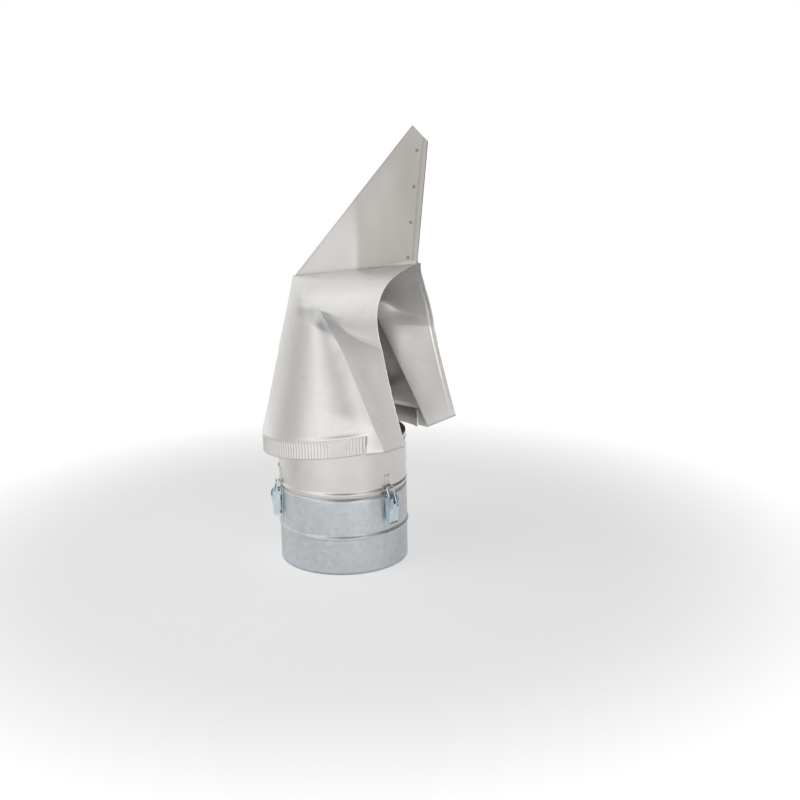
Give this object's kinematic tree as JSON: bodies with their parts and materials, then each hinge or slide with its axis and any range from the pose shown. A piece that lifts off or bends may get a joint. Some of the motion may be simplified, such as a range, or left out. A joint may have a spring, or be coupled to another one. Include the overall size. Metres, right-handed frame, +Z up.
{
  "type": "rotating chimney cowl",
  "caption": "Rotating chimney cowl: round flue ring, collar held by draw latches, and a one-sheet hood with a tall tail fin that turns on an upright spindle to keep its open side leeward.",
  "frame": {"origin": "centre of the base ring's open lower end, on the spindle's axis", "axes": "+Z up along the spindle, +X leeward, where the hood's open side and fin point, +Y completes the right hand"},
  "size_m": [0.3496, 0.3048, 0.839],
  "materials": {
    "hood_sheet": "satin rolled stainless sheet, softly cloudy reflections",
    "collar_sheet": "satin rolled stainless sheet, warm",
    "galvanised": "galvanised, bluish, fine spangle",
    "latch_zinc": "pale blue bright zinc plate",
    "bar_steel": "plain mill steel bar",
    "rivet_steel": "dull zinc",
    "bush_bronze": "sintered bronze"
  },
  "bodies": {
    "base": {"base_ring": "galvanised", "collar": "collar_sheet", "lower_crossbar": "bar_steel", "upper_crossbar": "bar_steel", "crossbar_rivets": "rivet_steel", "spindle": "bar_steel", "spindle_nuts": "latch_zinc", "spindle_washers": "latch_zinc", "bearing_ball": "bar_steel", "latch_rivets": "rivet_steel", "latch_plate_1": "latch_zinc", "latch_pin_1": "rivet_steel", "latch_catch_1": "collar_sheet", "latch_plate_2": "latch_zinc", "latch_pin_2": "rivet_steel", "latch_catch_2": "collar_sheet", "latch_plate_3": "latch_zinc", "latch_pin_3": "rivet_steel", "latch_catch_3": "collar_sheet"},
    "hood": {"hood_shell": "hood_sheet", "vane": "hood_sheet", "vane_rivets": "rivet_steel", "pivot_strap": "bar_steel", "guide_strap": "bar_steel", "pivot_cup": "bar_steel", "guide_bush": "bush_bronze"},
    "lever_1": {"latch_lever_1": "latch_zinc"},
    "loop_1": {"latch_loop_1": "latch_zinc"},
    "lever_2": {"latch_lever_2": "latch_zinc"},
    "loop_2": {"latch_loop_2": "latch_zinc"},
    "lever_3": {"latch_lever_3": "latch_zinc"},
    "loop_3": {"latch_loop_3": "latch_zinc"}
  },
  "joints": [
    {"name": "hood_turn", "type": "hinge", "parent": "base", "child": "hood", "pos_m": [0, 0, 0.3], "axis": [0, 0, 1], "continuous": true},
    {"name": "lever_1_swing", "type": "hinge", "parent": "base", "child": "lever_1", "pos_m": [0.12478, -0.04151, 0.146], "axis": [-0.3156, -0.9489, 0], "range_deg": [0, 120]},
    {"name": "loop_1_swing", "type": "hinge", "parent": "lever_1", "child": "loop_1", "pos_m": [0.13253, -0.04409, 0.12996], "axis": [-0.3156, -0.9489, 0], "range_deg": [-120, 0]},
    {"name": "lever_2_swing", "type": "hinge", "parent": "base", "child": "lever_2", "pos_m": [-0.09523, -0.09069, 0.146], "axis": [-0.6896, 0.7242, 0], "range_deg": [0, 120]},
    {"name": "loop_2_swing", "type": "hinge", "parent": "lever_2", "child": "loop_2", "pos_m": [-0.10115, -0.09632, 0.12996], "axis": [-0.6896, 0.7242, 0], "range_deg": [-120, 0]},
    {"name": "lever_3_swing", "type": "hinge", "parent": "base", "child": "lever_3", "pos_m": [-0.02869, 0.12833, 0.146], "axis": [0.9759, 0.2181, 0], "range_deg": [0, 120]},
    {"name": "loop_3_swing", "type": "hinge", "parent": "lever_3", "child": "loop_3", "pos_m": [-0.03047, 0.13631, 0.12996], "axis": [0.9759, 0.2181, 0], "range_deg": [-120, 0]}
  ],
  "couplings": [
    {"joint": "loop_1_swing", "follows": "lever_1_swing", "ratio": -1},
    {"joint": "loop_2_swing", "follows": "lever_2_swing", "ratio": -1},
    {"joint": "loop_3_swing", "follows": "lever_3_swing", "ratio": -1}
  ]
}
